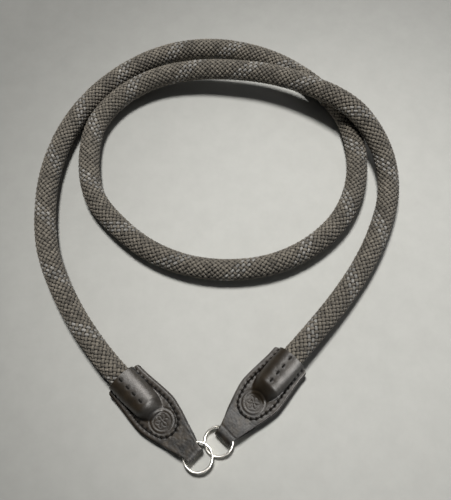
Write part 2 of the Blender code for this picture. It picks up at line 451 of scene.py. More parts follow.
def yarn_rings(route, rope, number, direction, offset, seed):
    """Rings of one yarn that winds round the rope over one crossing yarn and under the next."""
    places, centre, tangent, side, up = route
    crossing = rope.pitch / (2 * rope.yarns)
    total = places[-1]
    count = int(total / crossing * ROWS_PER_CROSSING) + 1
    steps = np.arange(count) / ROWS_PER_CROSSING
    place = np.clip(steps * crossing, 0, total)
    draw = np.random.default_rng(seed)
    wave = np.clip(WAVE_GAIN * np.cos(math.pi * steps), -1, 1) * direction
    swing = rope.yarn_height * WAVE_SWING
    middle = rope.diameter / 2 - rope.yarn_height / 2 - swing
    radius = middle + swing * wave + draw.normal(0, RADIUS_SCATTER, count)
    to_end = np.clip(np.minimum(place, total - place) / ROPE_TAPER, 0, 1)
    opened = to_end * to_end * (3 - 2 * to_end)
    radius = radius * (ROPE_END_SHARE + (1 - ROPE_END_SHARE) * opened)
    turn = offset + direction * 2 * math.pi * place / rope.pitch
    turn = turn + 2 * math.pi * number / rope.yarns + draw.normal(0, TURN_SCATTER, count)
    index = place / total * (len(places) - 1)
    low = np.clip(index.astype(int), 0, len(places) - 2)
    share = (index - low)[:, None]

    def at(values):
        return values[low] * (1 - share) + values[low + 1] * share

    outward = np.cos(turn)[:, None] * at(up) + np.sin(turn)[:, None] * at(side)
    line = at(centre) + outward * radius[:, None]
    along = np.gradient(line, axis=0)
    along /= np.linalg.norm(along, axis=1)[:, None]
    across = np.cross(along, outward)
    across /= np.linalg.norm(across, axis=1)[:, None]
    above = np.cross(across, along)
    uneven = 1 + draw.normal(0, WIDTH_SCATTER, count)
    half_width = rope.yarn_width / 2 * uneven * (1 - DEEP_NARROWING + DEEP_NARROWING * wave)
    half_height = np.full(count, rope.yarn_height / 2)
    rings = tube_rings(line, across, above, half_width, half_height, YARN_SIDES)
    lengths = np.concatenate([[0], np.cumsum(np.linalg.norm(np.diff(line, axis=0), axis=1))])
    return rings, lengths, wave


def make_yarns(name, rope, route, numbers, direction, offset, seed):
    """One piece of several yarns that wind the same way."""
    points, faces, marks, heights = [], [], [], []
    first = 0
    for number in numbers:
        rings, lengths, wave = yarn_rings(
            route, rope, number, direction, offset, seed + number)
        faces += loft(rings, first)
        first += rings.shape[0] * YARN_SIDES
        points.append(rings.reshape(-1, 3))
        marks.append(np.repeat(lengths / MM + YARN_SHIFT * number, YARN_SIDES))
        heights.append(np.repeat(wave, YARN_SIDES))
    piece = link_mesh(name, np.concatenate(points), faces)
    mesh = piece.data
    corner = np.empty(len(mesh.loops), dtype=np.int32)
    mesh.loops.foreach_get("vertex_index", corner)
    along = np.concatenate(marks)[corner]
    turn = (corner % YARN_SIDES) / YARN_SIDES
    start = np.empty(len(mesh.polygons), dtype=np.int32)
    total = np.empty(len(mesh.polygons), dtype=np.int32)
    mesh.polygons.foreach_get("loop_start", start)
    mesh.polygons.foreach_get("loop_total", total)
    # A face that closes the ring ends at a whole turn instead of going back to none
    for begin in start[total == 4]:
        quad = slice(begin, begin + 4)
        if turn[quad].max() - turn[quad].min() > 0.5:
            turn[quad] = np.where(turn[quad] < 0.25, 1.0, turn[quad])
    layer = mesh.uv_layers.new(name="yarn")
    layer.data.foreach_set("uv", np.stack([along, turn], 1).reshape(-1))
    # The wave's height, which the yarn material turns into painted shade where the yarn dives under
    height = mesh.attributes.new("height", "FLOAT", "POINT")
    height.data.foreach_set("value", np.concatenate(heights) * 0.5 + 0.5)
    return piece


def node(tree, kind, place, **values):
    made = tree.nodes.new(kind)
    made.location = place
    for key, value in values.items():
        if key in made.inputs:
            made.inputs[key].default_value = value
        else:
            setattr(made, key, value)
    return made


def new_material(name, colour, roughness, metallic=0.0):
    finish = bpy.data.materials.new(name)
    finish.use_nodes = True
    tree = finish.node_tree
    shader = tree.nodes["Principled BSDF"]
    shader.inputs["Base Color"].default_value = (*colour, 1)
    shader.inputs["Roughness"].default_value = roughness
    shader.inputs["Metallic"].default_value = metallic
    finish.diffuse_color = (*colour, 1)
    return finish, tree, shader


def ramp(tree, place, stops):
    """A colour ramp of (position, colour) stops."""
    made = tree.nodes.new("ShaderNodeValToRGB")
    made.location = place
    bar = made.color_ramp.elements
    while len(bar) < len(stops):
        bar.new(0.5)
    for element, (position, colour) in zip(bar, stops):
        element.position = position
        element.color = (*colour, 1)
    return made


def multiplied(tree, place, first, second):
    """The product of two colours."""
    made = node(tree, "ShaderNodeMix", place, data_type="RGBA", blend_type="MULTIPLY")
    made.inputs["Factor"].default_value = 1.0
    tree.links.new(first, made.inputs["A"])
    tree.links.new(second, made.inputs["B"])
    return made.outputs["Result"]


def shade(colour, share):
    return tuple(min(part * share, 1.0) for part in colour)


def yarn_material(name, colour, core):
    """Coarse spun yarn: fine fibres along it, uneven tone, and painted shade where it dives under
    at the crossings and along its sides.
    """
    finish, tree, shader = new_material(name, colour, 0.85)
    link = tree.links.new
    place = node(tree, "ShaderNodeUVMap", (-1400, 0), uv_map="yarn")
    fibres = node(tree, "ShaderNodeMapping", (-1200, 100))
    fibres.inputs["Scale"].default_value = (1.1, 26.0, 1.0)
    link(place.outputs["UV"], fibres.inputs["Vector"])
    strands = node(tree, "ShaderNodeTexNoise", (-1000, 150), Scale=1.0, Detail=3.0, Roughness=0.6)
    link(fibres.outputs["Vector"], strands.inputs["Vector"])
    floats = node(tree, "ShaderNodeMapping", (-1200, -150))
    floats.inputs["Scale"].default_value = (0.27, 0.35, 1.0)
    link(place.outputs["UV"], floats.inputs["Vector"])
    tone = node(tree, "ShaderNodeTexNoise", (-1000, -150), Scale=1.3, Detail=2.0, Roughness=0.7)
    link(floats.outputs["Vector"], tone.inputs["Vector"])
    spot = node(tree, "ShaderNodeTexCoord", (-1200, -400))
    patches = node(tree, "ShaderNodeTexNoise", (-1000, -400), Scale=170.0, Detail=3.0)
    link(spot.outputs["Object"], patches.inputs["Vector"])
    both = node(tree, "ShaderNodeMix", (-800, -150), data_type="RGBA", blend_type="OVERLAY")
    both.inputs["Factor"].default_value = 0.6
    link(tone.outputs["Fac"], both.inputs["A"])
    link(patches.outputs["Fac"], both.inputs["B"])
    colours = ramp(tree, (-600, -100), (
        (0.28, shade(colour, 0.50)), (0.48, shade(colour, 0.95)), (0.72, shade(colour, 1.5))))
    link(both.outputs["Result"], colours.inputs["Fac"])
    streaks = ramp(tree, (-600, 150), ((0.30, (0.55, 0.55, 0.55)), (0.62, (1.12, 1.12, 1.12))))
    link(strands.outputs["Fac"], streaks.inputs["Fac"])
    spun = multiplied(tree, (-400, 0), colours.outputs["Color"], streaks.outputs["Color"])
    # Painted shade: the yarn is painted dark, towards the core's colour, where its wave dives under
    # a crossing yarn
    height = node(tree, "ShaderNodeAttribute", (-800, -600), attribute_name="height")
    painted_hollow_shade = ramp(tree, (-600, -500), ((0.50, shade(core, 1.2)), (0.90, (1.0, 1.0, 1.0))))
    link(height.outputs["Fac"], painted_hollow_shade.inputs["Fac"])
    parts = node(tree, "ShaderNodeSeparateXYZ", (-1200, -700))
    link(place.outputs["UV"], parts.inputs["Vector"])
    # Painted shade: the yarn's sides and underside are painted dark where they lie against
    # neighbouring yarns
    painted_side_shade = ramp(tree, (-600, -800), (
        (0.24, shade(core, 2.0)), (0.38, (1.0, 1.0, 1.0)), (0.62, (1.0, 1.0, 1.0)),
        (0.76, shade(core, 2.0))))
    link(parts.outputs["Y"], painted_side_shade.inputs["Fac"])
    painted_crevice_shade = multiplied(tree, (-400, -600), painted_hollow_shade.outputs["Color"], painted_side_shade.outputs["Color"])
    link(multiplied(tree, (-200, 0), spun, painted_crevice_shade), shader.inputs["Base Color"])
    bump = node(tree, "ShaderNodeBump", (-200, -300), Strength=0.7, Distance=0.00018)
    link(strands.outputs["Fac"], bump.inputs["Height"])
    link(bump.outputs["Normal"], shader.inputs["Normal"])
    shader.inputs["Sheen Weight"].default_value = 0.10
    shader.inputs["Sheen Roughness"].default_value = 0.5
    shader.inputs["Specular IOR Level"].default_value = 0.12
    return finish


# The core's near-black colour stands partly as painted shade in the gaps between the yarns
def core_material(colour):
    finish, tree, shader = new_material("braid core", colour, 0.95)
    link = tree.links.new
    spot = node(tree, "ShaderNodeTexCoord", (-800, 0))
    fibres = node(tree, "ShaderNodeTexNoise", (-600, 0), Scale=900.0, Detail=2.0)
    link(spot.outputs["Object"], fibres.inputs["Vector"])
    colours = ramp(tree, (-400, 0), ((0.35, shade(colour, 0.5)), (0.7, shade(colour, 1.8))))
    link(fibres.outputs["Fac"], colours.inputs["Fac"])
    link(colours.outputs["Color"], shader.inputs["Base Color"])
    return finish


def outline_half_width(along):
    """Half width of the front leaf at this distance from the tab's mouth."""
    share = along / TAB_LENGTH
    index = 0
    while index < len(TAB_OUTLINE) - 2 and TAB_OUTLINE[index + 1][0] < share:
        index += 1
    widths = [width for place, width in TAB_OUTLINE]
    before = widths[max(index - 1, 0)]
    after = widths[min(index + 2, len(widths) - 1)]
    start, end = TAB_OUTLINE[index], TAB_OUTLINE[index + 1]
    place = (share - start[0]) / (end[0] - start[0])
    half_width = smooth_between(before, start[1], end[1], after, place) * TAB_WIDTH / 2
    to_corner = min(max(MOUTH_CORNER - along, 0.0), MOUTH_CORNER)
    return half_width - MOUTH_CORNER + math.sqrt(MOUTH_CORNER ** 2 - to_corner ** 2)


def bulge_half_section(centre, fillet, edge):
    """Half of a leaf's section over the rope: an arc, a fillet and the flat seam."""
    foot = math.sqrt((BULGE_RADIUS + fillet) ** 2 - (fillet - centre) ** 2)
    contact = math.atan2(foot, fillet - centre)
    section = []
    for step in range(ARC_STEPS):
        angle = contact * step / ARC_STEPS
        section.append((BULGE_RADIUS * math.sin(angle), centre + BULGE_RADIUS * math.cos(angle)))
    for step in range(FILLET_STEPS + 1):
        angle = contact * (1 - step / FILLET_STEPS)
        section.append((foot - fillet * math.sin(angle), fillet * (1 - math.cos(angle))))
    for step in range(1, SEAM_STEPS + 1):
        section.append((foot + (edge - foot) * step / SEAM_STEPS, 0.0))
    return section


def narrowed(section, along, edge):
    """The front leaf's section, drawn in where the rope's tapered end lies under it."""
    drawn = smoothstep(NARROW_START, NARROW_END, along)
    slimmer = 1 - NARROW_WIDTH * drawn
    lower = 1 - NARROW_HEIGHT * drawn
    foot = section[-SEAM_STEPS - 1][0] * slimmer
    raised = [(across * slimmer, height * lower) for across, height in section[:-SEAM_STEPS]]
    flat = [
        (foot + (edge - foot) * step / SEAM_STEPS, 0.0) for step in range(1, SEAM_STEPS + 1)]
    return raised + flat


def leaf_row(along, side):
    """Points across one leaf's middle surface, side 1 for the front and -1 for the back."""
    opening = smoothstep(NECK_START, NECK_END, along)
    gap = SEAM_SLIT + (FOLD_GAP - SEAM_SLIT) * opening
    seam = side * (gap + LEATHER) / 2 - ROPE_RISE - NECK_DROOP * opening
    edge = outline_half_width(along)
    if side < 0:
        edge += BACK_OVERHANG * (1 - smoothstep(NECK_START, TAB_LENGTH, along))
    fillet = FRONT_FILLET if side > 0 else BACK_FILLET
    centre = side * ROPE_RISE - (SEAM_SLIT + LEATHER) / 2
    bulged = bulge_half_section(centre, fillet, edge)
    if side > 0:
        bulged = narrowed(bulged, along, edge)
    flatness = smoothstep(BULGE_FALL, BULGE_END, along)
    last = len(bulged) - 1
    half = []
    for index, (across, height) in enumerate(bulged):
        even = edge * index / last
        half.append((
            across + (even - across) * flatness,
            seam + side * height * (1 - flatness),
        ))
    right = [(along, -across, height) for across, height in reversed(half[1:])]
    return right + [(along, across, height) for across, height in half]


def leaf_places(column):
    places = [0.0]
    for stretch in LEAF_STRETCHES:
        start = places[-1]
        size = (stretch[0] - start) / stretch[column]
        places += [start + size * step for step in range(1, stretch[column] + 1)]
    return places


def fold_rows(count):
    edge = outline_half_width(TAB_LENGTH)
    radius = (FOLD_GAP + LEATHER) / 2
    rows = []
    for step in range(1, FOLD_STEPS):
        angle = math.pi * step / FOLD_STEPS
        along = TAB_LENGTH + radius * math.sin(angle)
        height = radius * math.cos(angle) - FOLD_DROP
        rows.append([
            (along, edge * (2 * index / (count - 1) - 1), height) for index in range(count)])
    return rows


def stitch_line():
    """Holes of the running seam on one tab, in millimetres, from mouth corner to mouth corner."""
    path = []
    along = SEAM_START
    while along < STAMP_PLACE + SEAM_TURN:
        path.append(Vector((along, outline_half_width(along) - STITCH_INSET)))
        along += SEAM_SPACING
    start = path[-1] - Vector((STAMP_PLACE, 0.0))
    begin = math.atan2(start.y, start.x)
    for step in range(1, SEAM_ARC_STEPS):
        share = step / SEAM_ARC_STEPS
        angle = begin * (1 - share)
        radius = start.length + (SEWN_RADIUS - start.length) * smoothstep(0, SEAM_EASE, share)
        path.append(Vector((
            STAMP_PLACE + radius * math.cos(angle), radius * math.sin(angle))))
    path += [Vector((point.x, -point.y)) for point in reversed(path)]
    lengths = [0.0]
    for first, last in zip(path, path[1:]):
        lengths.append(lengths[-1] + (last - first).length)
    count = round(lengths[-1] / STITCH_PITCH)
    places = np.linspace(0, lengths[-1], count + 1)
    xs = np.interp(places, lengths, [point.x for point in path])
    ys = np.interp(places, lengths, [point.y for point in path])
    return list(zip(xs.tolist(), ys.tolist()))


def tab_matrix(tab):
    turn = Euler((math.radians(tab[4]), 0.0, math.radians(tab[3]))).to_matrix().to_4x4()
    return Matrix.Translation(rope_at_mouth(tab)) @ turn @ Matrix.Scale(MM, 4)


def petal_relief(dx, dy):
    """Depth of the stamp's plain rosette at a place from its centre, in millimetres."""
    distance = math.hypot(dx, dy)
    depth = 0.0
    for inside, sunk, spread in STAMP_LINES:
        gap = distance - (STAMP_RADIUS - inside)
        depth += sunk * math.exp(-(gap / spread) ** 2)
    for petal in range(PETALS):
        angle = 2 * math.pi * petal / PETALS
        along = dx * math.cos(angle) + dy * math.sin(angle)
        across = -dx * math.sin(angle) + dy * math.cos(angle)
        if PETAL_START < along < PETAL_END:
            share = (along - PETAL_START) / (PETAL_END - PETAL_START)
            width = PETAL_WIDTH * math.sin(math.pi * share)
            depth += PETAL_DEPTH * math.exp(-((abs(across) - width) / PETAL_LINE) ** 2)
    return depth


def leaf_relief(along, across, holes, seed):
    """How far the front face sinks, and how much painted shade darkens it in holes and the stamp's
    lines, at a place on the leaf.
    """
    sink = 0.0
    dark = 0.0
    for x, y in holes:
        on_crest = y == 0.0
        gap = math.hypot((along - x) * (CREST_STRETCH if on_crest else 1.0), across - y)
        if gap < HOLE_REACH:
            depth = CREST_HOLE_DEPTH if on_crest else HOLE_DEPTH
            # Painted shade: the leather is painted dark in and round each hole
            dark = max(dark, math.exp(-(gap / HOLE_SHADE_RADIUS) ** 4))
            sink += depth * math.exp(-(gap / HOLE_RADIUS) ** 2)
            if not on_crest:
                sink += PULL_DEPTH * math.exp(-(gap / PULL_RADIUS) ** 2)
    if math.hypot(along - STAMP_PLACE, across) < STAMP_REACH:
        relief = petal_relief(along - STAMP_PLACE, across)
        sink += relief
        # Painted shade in the stamp's sunk lines, darker where they sink deeper
        dark = max(dark, min(max(relief, 0.0) * STAMP_SHADE_GAIN, STAMP_DARKEST))
    spot = Vector((along * UNEVEN_SCALE, across * UNEVEN_SCALE, seed))
    sink += UNEVEN_DEPTH * noise.noise(spot) + RIPPLE_DEPTH * noise.noise(spot * RIPPLE_SCALE)
    worn = smoothstep(WRINKLE_START, WRINKLE_END, along)
    if worn > 0:
        wrinkle = noise.noise(Vector((along * 1.6, across * 0.9, seed + 3.0)))
        sink += WRINKLE_DEPTH * worn * wrinkle
    off_crease = (along - CREASE_PLACE - CREASE_SLANT * across) / CREASE_WIDTH
    sink += CREASE_DEPTH * math.exp(-off_crease ** 2)
    return sink, dark


def make_tab(tab, seed):
    """One leather strip: front leaf, fold and back leaf, with its wall, stamp and stitch holes."""
    front = leaf_places(1)
    back = leaf_places(2)
    rows = [leaf_row(along, 1) for along in front]
    rows += fold_rows(len(rows[0]))
    rows += [leaf_row(along, -1) for along in reversed(back)]
    count = len(rows[0])
    bpy.ops.object.select_all(action="DESELECT")
    bpy.ops.mesh.primitive_grid_add(
        x_subdivisions=count - 1, y_subdivisions=len(rows) - 1, size=0.02)
    piece = bpy.context.object
    piece.name = tab[0] + "_leather_tab"
    mesh = piece.data
    mesh.name = piece.name
    flat = [point for row in rows for point in row]
    mesh.vertices.foreach_set("co", np.array(flat).reshape(-1))
    mesh.update()
    if mesh.polygons[0].normal.z < 0:
        mesh.flip_normals()
    outer = len(mesh.vertices)
    wall = piece.modifiers.new("wall", "SOLIDIFY")
    wall.thickness = LEATHER
    wall.offset = 0.0
    wall.use_even_offset = True
    bpy.ops.object.modifier_apply(modifier=wall.name)
    holes = stitch_line() + [(place, 0.0) for place in CREST_HOLES]
    mesh = piece.data
    mesh.update()
    normals = [vertex.normal.copy() for vertex in mesh.vertices]
    dark = np.zeros(len(mesh.vertices), dtype=np.float32)
    neck = np.zeros(len(mesh.vertices), dtype=np.float32)
    shown = (len(front) + FOLD_STEPS - 1) * count
    for vertex in mesh.vertices[:shown]:
        along, across = flat[vertex.index][:2]
        near = [
            (x, y) for x, y in holes
            if abs(x - along) < HOLE_REACH and abs(y - across) < HOLE_REACH]
        sink, painted_shade = leaf_relief(along, across, near, seed)
        border = outline_half_width(min(along, TAB_LENGTH)) - abs(across)
        sink += EDGE_DEPTH * math.exp(-(border / EDGE_WIDTH) ** 2)
        vertex.co -= normals[vertex.index] * sink
        dark[vertex.index] = painted_shade
    for start in (0, outer):
        for index in range(outer):
            neck[start + index] = smoothstep(RUBBED_START, RUBBED_END, flat[index][0])
    layer = mesh.attributes.new("dark", "FLOAT", "POINT")
    layer.data.foreach_set("value", dark)
    layer = mesh.attributes.new("neck", "FLOAT", "POINT")
    layer.data.foreach_set("value", neck)
    mark_rim(mesh, outer, count, len(rows))
    bevel = piece.modifiers.new("rounded rim", "BEVEL")
    bevel.limit_method = "WEIGHT"
    bevel.width = RIM_ROUNDING
    bevel.segments = RIM_STEPS
    bpy.ops.object.modifier_apply(modifier=bevel.name)
    mesh = piece.data
    mesh.transform(tab_matrix(tab))
    mesh.update()
    bpy.ops.object.shade_smooth_by_angle(angle=math.radians(SMOOTH_ANGLE))
    return piece


def mark_rim(mesh, outer, columns, rows):
    """Gives a bevel weight to the edges of the strip's two faces."""
    shape = bmesh.new()
    shape.from_mesh(mesh)
    weight = shape.edges.layers.float.get("bevel_weight_edge")
    if weight is None:
        weight = shape.edges.layers.float.new("bevel_weight_edge")

    def on_rim(vertex):
        place = vertex.index % outer
        row, column = divmod(place, columns)
        return row in (0, rows - 1) or column in (0, columns - 1)

    for edge in shape.edges:
        a, b = edge.verts
        same_face = (a.index < outer) == (b.index < outer)
        if same_face and on_rim(a) and on_rim(b):
            edge[weight] = 1.0
    shape.to_mesh(mesh)
    shape.free()


def surface_height(along, across):
    """Height of the front leaf's outer face above a place in the tab's own frame."""
    row = leaf_row(along, 1)
    places = [point[1] for point in row]
    heights = [point[2] for point in row]
    height = float(np.interp(across, places, heights))
    step = 0.05
    beside = float(np.interp(across + step, places, heights))
    return height + LEATHER / 2 * math.hypot(1, (beside - height) / step)


def thread_stitch(start, end, lift, radius):
    """Rings of one stitch that dives into the leather at both ends."""
    first = Vector((*start, surface_height(*start)))
    span = Vector((*end, surface_height(*end))) - first
    line = [
        first + span * share + Vector((0, 0, height * lift)) for share, height in STITCH_PROFILE]
    line = np.array([tuple(point) for point in line])
    tangent = np.gradient(line, axis=0)
    tangent /= np.linalg.norm(tangent, axis=1)[:, None]
    across = np.cross((0.0, 0.0, 1.0), tangent)
    across /= np.linalg.norm(across, axis=1)[:, None]
    above = np.cross(tangent, across)
    size = np.full(len(line), radius)
    return tube_rings(line, across, above, size * THREAD_FLATNESS, size, THREAD_SIDES)


def make_thread(tab):
    """The stitches on one tab's front leaf: the seam round its edge and those of the crest, which
    lie centred over the crest's holes as dark marks of painted shade.
    """
    holes = stitch_line()
    stitches = [thread_stitch(*ends, *SEAM_THREAD) for ends in zip(holes, holes[1:])]
    for place in CREST_HOLES:
        start = (place - CREST_STITCH, 0.0)
        end = (place + CREST_STITCH, 0.0)
        stitches.append(thread_stitch(start, end, *CREST_THREAD))
    points, faces = [], []
    first = 0
    for rings in stitches:
        faces += loft(rings, first)
        first += rings.shape[0] * rings.shape[1]
        points.append(rings.reshape(-1, 3))
    piece = link_mesh(tab[0] + "_thread", np.concatenate(points), faces)
    piece.data.transform(tab_matrix(tab))
    return piece


def leather_material(leather):
    """Dark satin leather with fine grain, a mottled neck and painted shade in its stitch holes and
    the stamp's sunk lines.
    """
    finish, tree, shader = new_material("strap leather", leather.colour, leather.roughness)
    shader.inputs["Specular IOR Level"].default_value = 0.33
    link = tree.links.new
    spot = node(tree, "ShaderNodeTexCoord", (-1400, 0))
    mottle = node(tree, "ShaderNodeTexNoise", (-1100, 200), Scale=260.0, Detail=5.0, Roughness=0.65)
    link(spot.outputs["Object"], mottle.inputs["Vector"])
    fine = node(tree, "ShaderNodeTexNoise", (-1100, 0), Scale=1100.0, Detail=4.0, Roughness=0.6)
    link(spot.outputs["Object"], fine.inputs["Vector"])
    cells = node(tree, "ShaderNodeTexVoronoi", (-1100, -200), Scale=1900.0)
    cells.feature = "DISTANCE_TO_EDGE"
    link(spot.outputs["Object"], cells.inputs["Vector"])
    base = ramp(tree, (-800, 200), (
        (0.34, shade(leather.colour, 0.72)), (0.52, leather.colour),
        (0.72, shade(leather.colour, 1.35))))
    link(mottle.outputs["Fac"], base.inputs["Fac"])
    rubbed = ramp(tree, (-800, 0), (
        (0.38, shade(leather.worn, 0.15)), (0.5, shade(leather.worn, 0.8)),
        (0.64, shade(leather.worn, 2.1))))
    link(mottle.outputs["Fac"], rubbed.inputs["Fac"])
    neck = node(tree, "ShaderNodeAttribute", (-800, -200), attribute_name="neck")
    blend = node(tree, "ShaderNodeMix", (-500, 100), data_type="RGBA")
    link(neck.outputs["Fac"], blend.inputs["Factor"])
    link(base.outputs["Color"], blend.inputs["A"])
    link(rubbed.outputs["Color"], blend.inputs["B"])
    # Painted shade: near black where the dark attribute marks stitch holes and the stamp's lines
    dark = node(tree, "ShaderNodeAttribute", (-500, -200), attribute_name="dark")
    painted_hole_shade = node(tree, "ShaderNodeMix", (-250, 50), data_type="RGBA")
    painted_hole_shade.inputs["B"].default_value = (0.001, 0.001, 0.001, 1)
    link(dark.outputs["Fac"], painted_hole_shade.inputs["Factor"])
    link(blend.outputs["Result"], painted_hole_shade.inputs["A"])
    link(painted_hole_shade.outputs["Result"], shader.inputs["Base Color"])
    rough = node(tree, "ShaderNodeMapRange", (-500, -400))
    rough.inputs["To Min"].default_value = leather.roughness - 0.08
    rough.inputs["To Max"].default_value = leather.roughness + 0.14
    link(fine.outputs["Fac"], rough.inputs["Value"])
    matt = node(tree, "ShaderNodeMath", (-250, -250), operation="MULTIPLY_ADD", use_clamp=True)
    link(dark.outputs["Fac"], matt.inputs[0])
    matt.inputs[1].default_value = 0.40
    dull = node(tree, "ShaderNodeMath", (-350, -350), operation="MULTIPLY_ADD")
    link(neck.outputs["Fac"], dull.inputs[0])
    dull.inputs[1].default_value = 0.08
    link(rough.outputs["Result"], dull.inputs[2])
    link(dull.outputs["Value"], matt.inputs[2])
    link(matt.outputs["Value"], shader.inputs["Roughness"])
    grain = node(tree, "ShaderNodeMath", (-800, -500), operation="MULTIPLY")
    link(cells.outputs["Distance"], grain.inputs[0])
    grain.inputs[1].default_value = 1.2
    height = node(tree, "ShaderNodeMath", (-600, -550), operation="ADD")
    link(grain.outputs["Value"], height.inputs[0])
    link(fine.outputs["Fac"], height.inputs[1])
    bump = node(tree, "ShaderNodeBump", (-300, -500), Strength=0.35, Distance=0.00012)
    link(height.outputs["Value"], bump.inputs["Height"])
    link(bump.outputs["Normal"], shader.inputs["Normal"])
    return finish


def thread_material(colour):
    finish, tree, shader = new_material("waxed thread", colour, 0.75)
    shader.inputs["Specular IOR Level"].default_value = 0.06
    link = tree.links.new
    spot = node(tree, "ShaderNodeTexCoord", (-900, 0))
    plies = node(tree, "ShaderNodeTexWave", (-650, 0), Scale=900.0, Distortion=1.5)
    link(spot.outputs["Object"], plies.inputs["Vector"])
    colours = ramp(tree, (-400, 0), ((0.1, shade(colour, 0.6)), (0.8, shade(colour, 1.2))))
    link(plies.outputs["Fac"], colours.inputs["Fac"])
    link(colours.outputs["Color"], shader.inputs["Base Color"])
    bump = node(tree, "ShaderNodeBump", (-300, -300), Strength=0.4, Distance=0.0001)
    link(plies.outputs["Fac"], bump.inputs["Height"])
    link(bump.outputs["Normal"], shader.inputs["Normal"])
    return finish


def make_ring(ring, name, wire):
    """Nearly two turns of wire side by side, spun from one round section."""
    tab, past, beside, above, pitch, roll = ring
    total = 720.0 - RING_STEP
    radius = RING_DIAMETER * MM / 2 - wire / 2
    bpy.ops.object.select_all(action="DESELECT")
    bpy.ops.mesh.primitive_circle_add(
        vertices=WIRE_SIDES, radius=wire / 2, fill_type="NGON",
        location=(radius, 0.0, 0.0), rotation=(math.pi / 2, 0.0, 0.0))
    piece = bpy.context.object
    bpy.ops.object.transform_apply(location=True, rotation=True, scale=True)
    piece.name = name
    bpy.ops.object.mode_set(mode="EDIT")
    bpy.ops.mesh.select_all(action="SELECT")
    bpy.ops.mesh.spin(
        steps=RING_STEPS, angle=math.radians(total), center=(0.0, 0.0, 0.0),
        axis=(0.0, 0.0, 1.0), use_auto_merge=False)
    bpy.ops.object.mode_set(mode="OBJECT")
    mesh = piece.data
    mesh.name = name
    shape = bmesh.new()
    shape.from_mesh(mesh)
    shape.verts.ensure_lookup_table()
    edge_ring = list(shape.verts[:WIRE_SIDES])
    ring_of = {vertex: 0 for vertex in edge_ring}
    step = 0
    while edge_ring:
        step += 1
        after = []
        for vertex in edge_ring:
            for edge in vertex.link_edges:
                other = edge.other_vert(vertex)
                if other not in ring_of:
                    ring_of[other] = step
                    after.append(other)
        edge_ring = after
    last = max(ring_of.values())
    for vertex, number in ring_of.items():
        angle = total * number / last
        level = smoothstep(360 - RING_STEP, 360, angle) - 0.5
        vertex.co.z += level * RING_PITCH * MM
    bmesh.ops.recalc_face_normals(shape, faces=shape.faces)
    shape.to_mesh(mesh)
    shape.free()
    ahead = heading_vector(tab)
    aside = Vector((-ahead.y, ahead.x, 0.0))
    shift = ahead * past + aside * beside + Vector((0, 0, above))
    place = fold_centre(tab) + shift * RING_DIAMETER * MM
    turn = Euler((math.radians(roll), math.radians(pitch), math.radians(tab[3]))).to_matrix()
    start_turn = Matrix.Rotation(math.radians(RING_START), 4, "Z")
    mesh.transform(Matrix.Translation(place) @ turn.to_4x4() @ start_turn)
    bpy.ops.object.select_all(action="DESELECT")
    piece.select_set(True)
    bpy.context.view_layer.objects.active = piece
    bpy.ops.object.shade_smooth_by_angle(angle=math.radians(SMOOTH_ANGLE))
    return piece


def steel_material(colour):
    """Polished wire with faint lengthwise wear."""
    finish, tree, shader = new_material("polished steel", colour, 0.2, 1.0)
    link = tree.links.new
    spot = node(tree, "ShaderNodeTexCoord", (-900, 0))
    wear = node(tree, "ShaderNodeTexNoise", (-650, 0), Scale=700.0, Detail=4.0)
    link(spot.outputs["Object"], wear.inputs["Vector"])
    rough = node(tree, "ShaderNodeMapRange", (-400, 0))
    rough.inputs["To Min"].default_value = 0.30
    rough.inputs["To Max"].default_value = 0.48
    link(wear.outputs["Fac"], rough.inputs["Value"])
    link(rough.outputs["Result"], shader.inputs["Roughness"])
    tint = ramp(tree, (-400, 250), ((0.3, shade(colour, 0.88)), (0.6, colour)))
    link(wear.outputs["Fac"], tint.inputs["Fac"])
    link(tint.outputs["Color"], shader.inputs["Base Color"])
    return finish


def floor_material(colour):
    finish, tree, shader = new_material("pale table", colour, 0.7)
    shader.inputs["Specular IOR Level"].default_value = 0.08
    link = tree.links.new
    spot = node(tree, "ShaderNodeTexCoord", (-900, 0))
    cloud = node(tree, "ShaderNodeTexNoise", (-650, 0), Scale=90.0, Detail=6.0, Roughness=0.7)
    link(spot.outputs["Object"], cloud.inputs["Vector"])
    tint = ramp(tree, (-400, 0), ((0.35, shade(colour, 0.97)), (0.65, shade(colour, 1.03))))
    link(cloud.outputs["Fac"], tint.inputs["Fac"])
    # Painted light: the table's colour is lightest round a point near the strap and darkens to 0.42
    # of it further out, a painted pool of light
    painted_light_distance = node(tree, "ShaderNodeVectorMath", (-650, -300), operation="DISTANCE")
    link(spot.outputs["Object"], painted_light_distance.inputs[0])
    painted_light_distance.inputs[1].default_value = (0.062, 0.058, 0.0)
    painted_light_falloff = node(tree, "ShaderNodeMapRange", (-400, -300), interpolation_type="SMOOTHSTEP")
    painted_light_falloff.inputs["From Min"].default_value = 0.05
    painted_light_falloff.inputs["From Max"].default_value = 0.25
    painted_light_falloff.inputs["To Min"].default_value = 1.0
    painted_light_falloff.inputs["To Max"].default_value = 0.42
    link(painted_light_distance.outputs["Value"], painted_light_falloff.inputs["Value"])
    whole = multiplied(tree, (-200, 0), tint.outputs["Color"], painted_light_falloff.outputs["Result"])
    link(whole, shader.inputs["Base Color"])
    return finish


class STRAP_OT_camera(Operator):
    """Places the camera at the photograph's viewing angle"""
    bl_idname = "strap.camera"
    bl_label = "Camera"

    def execute(self, context):
        data = bpy.data.cameras.new("camera")
        data.lens = CAMERA_LENS
        data.sensor_width = SENSOR_WIDTH
        data.clip_start = CAMERA_NEAR
        camera = bpy.data.objects.new("camera", data)
        context.collection.objects.link(camera)
        camera.location = CAMERA_PLACE
        camera.rotation_euler = (math.radians(CAMERA_TILT), 0.0, 0.0)
        context.scene.camera = camera
        return {"FINISHED"}


